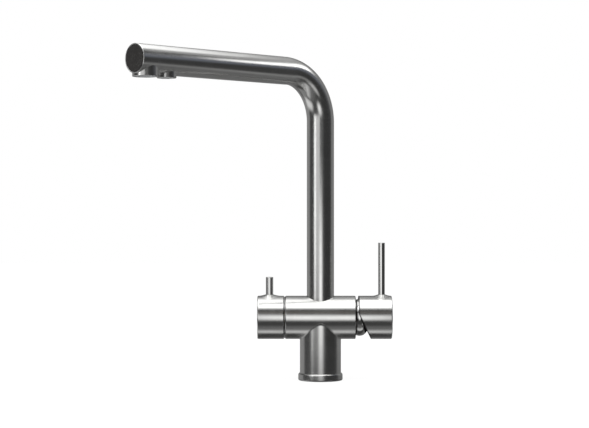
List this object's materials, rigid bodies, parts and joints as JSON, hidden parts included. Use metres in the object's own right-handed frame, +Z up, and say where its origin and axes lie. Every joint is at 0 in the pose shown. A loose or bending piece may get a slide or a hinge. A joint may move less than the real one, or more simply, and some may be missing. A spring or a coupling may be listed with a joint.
{
  "type": "three way filtered water tap",
  "caption": "Kitchen sink mixer tap with a swivel right-angle spout, a side mixer lever and a separate filtered water knob and outlet.",
  "frame": {"origin": "centre of the base on the deck, on the column's axis", "axes": "+Z up along the column, +X along the barrel towards the mixer handle, -Y towards the user"},
  "size_m": [0.2581, 0.2047, 0.3294],
  "materials": {
    "brushed_steel": "brushed",
    "polished_steel": "polished",
    "end_steel": "fine brushed",
    "fastener_steel": "plain",
    "brass": "machined",
    "rubber": "matt",
    "ceramic": "lapped",
    "white_plastic": "moulded",
    "grey_plastic": "moulded"
  },
  "bodies": {
    "tap_body": {"valve_body": "brushed_steel", "column_skirt": "brushed_steel", "base_flange": "brushed_steel", "base_gasket": "rubber", "inlet_block": "brass", "inlet_seals": "rubber", "inlet_screws": "fastener_steel", "spout_glide_ring": "white_plastic", "spout_lock_screw": "fastener_steel", "filter_headwork": "brass", "headwork_o_ring": "rubber", "filter_seat_seal": "rubber", "filter_fixed_disc": "ceramic", "cartridge_base": "grey_plastic", "cartridge_seals": "rubber", "cartridge_fixed_disc": "ceramic", "cartridge_housing": "white_plastic", "cartridge_nut": "brass", "dome_ring": "polished_steel"},
    "spout": {"spout_tube": "brushed_steel", "spout_adapter": "brass", "spout_o_rings": "rubber", "filter_tube": "white_plastic", "spout_end_cap": "end_steel", "main_outlet_collar": "brushed_steel", "main_aerator": "grey_plastic", "main_aerator_screen": "white_plastic", "main_aerator_washer": "rubber", "filter_outlet_collar": "brushed_steel", "filter_aerator": "grey_plastic", "filter_aerator_washer": "rubber"},
    "filter_control": {"filter_knob": "brushed_steel", "filter_knob_pin": "brushed_steel", "knob_grub_screw": "fastener_steel", "filter_spindle": "brass", "spindle_o_ring": "rubber", "spindle_clip": "fastener_steel", "filter_moving_disc": "ceramic"},
    "mixer_rotor": {"stem_carrier": "white_plastic", "stem_pivot_pin": "fastener_steel"},
    "mixer_disc": {"cartridge_moving_disc": "ceramic", "disc_driver": "white_plastic"},
    "mixer_lever": {"mixer_handle": "brushed_steel", "mixer_lever_pin": "brushed_steel", "mixer_stem": "brass", "handle_grub_screw": "fastener_steel", "handle_plug": "brushed_steel"}
  },
  "joints": [
    {"name": "spout_swivel", "type": "hinge", "parent": "tap_body", "child": "spout", "pos_m": [0, 0, 0.0645], "axis": [0, 0, 1], "range_deg": [-44.5, 135.5]},
    {"name": "filter_turn", "type": "hinge", "parent": "tap_body", "child": "filter_control", "pos_m": [-0.0374, 0, 0.0645], "axis": [1, 0, 0], "range_deg": [0, 90]},
    {"name": "mixer_temperature", "type": "hinge", "parent": "tap_body", "child": "mixer_rotor", "pos_m": [0.0401, 0, 0.0645], "axis": [1, 0, 0], "range_deg": [-45, 45]},
    {"name": "mixer_flow", "type": "hinge", "parent": "mixer_rotor", "child": "mixer_lever", "pos_m": [0.0401, 0, 0.0645], "axis": [0, 1, 0], "range_deg": [0, 25]},
    {"name": "disc_slide", "type": "slide", "parent": "mixer_rotor", "child": "mixer_disc", "axis": [0, 0, 1], "range_m": [0, 0.0042]}
  ],
  "couplings": [
    {"joint": "disc_slide", "follows": "mixer_flow", "m_per_rad": 0.0093}
  ]
}
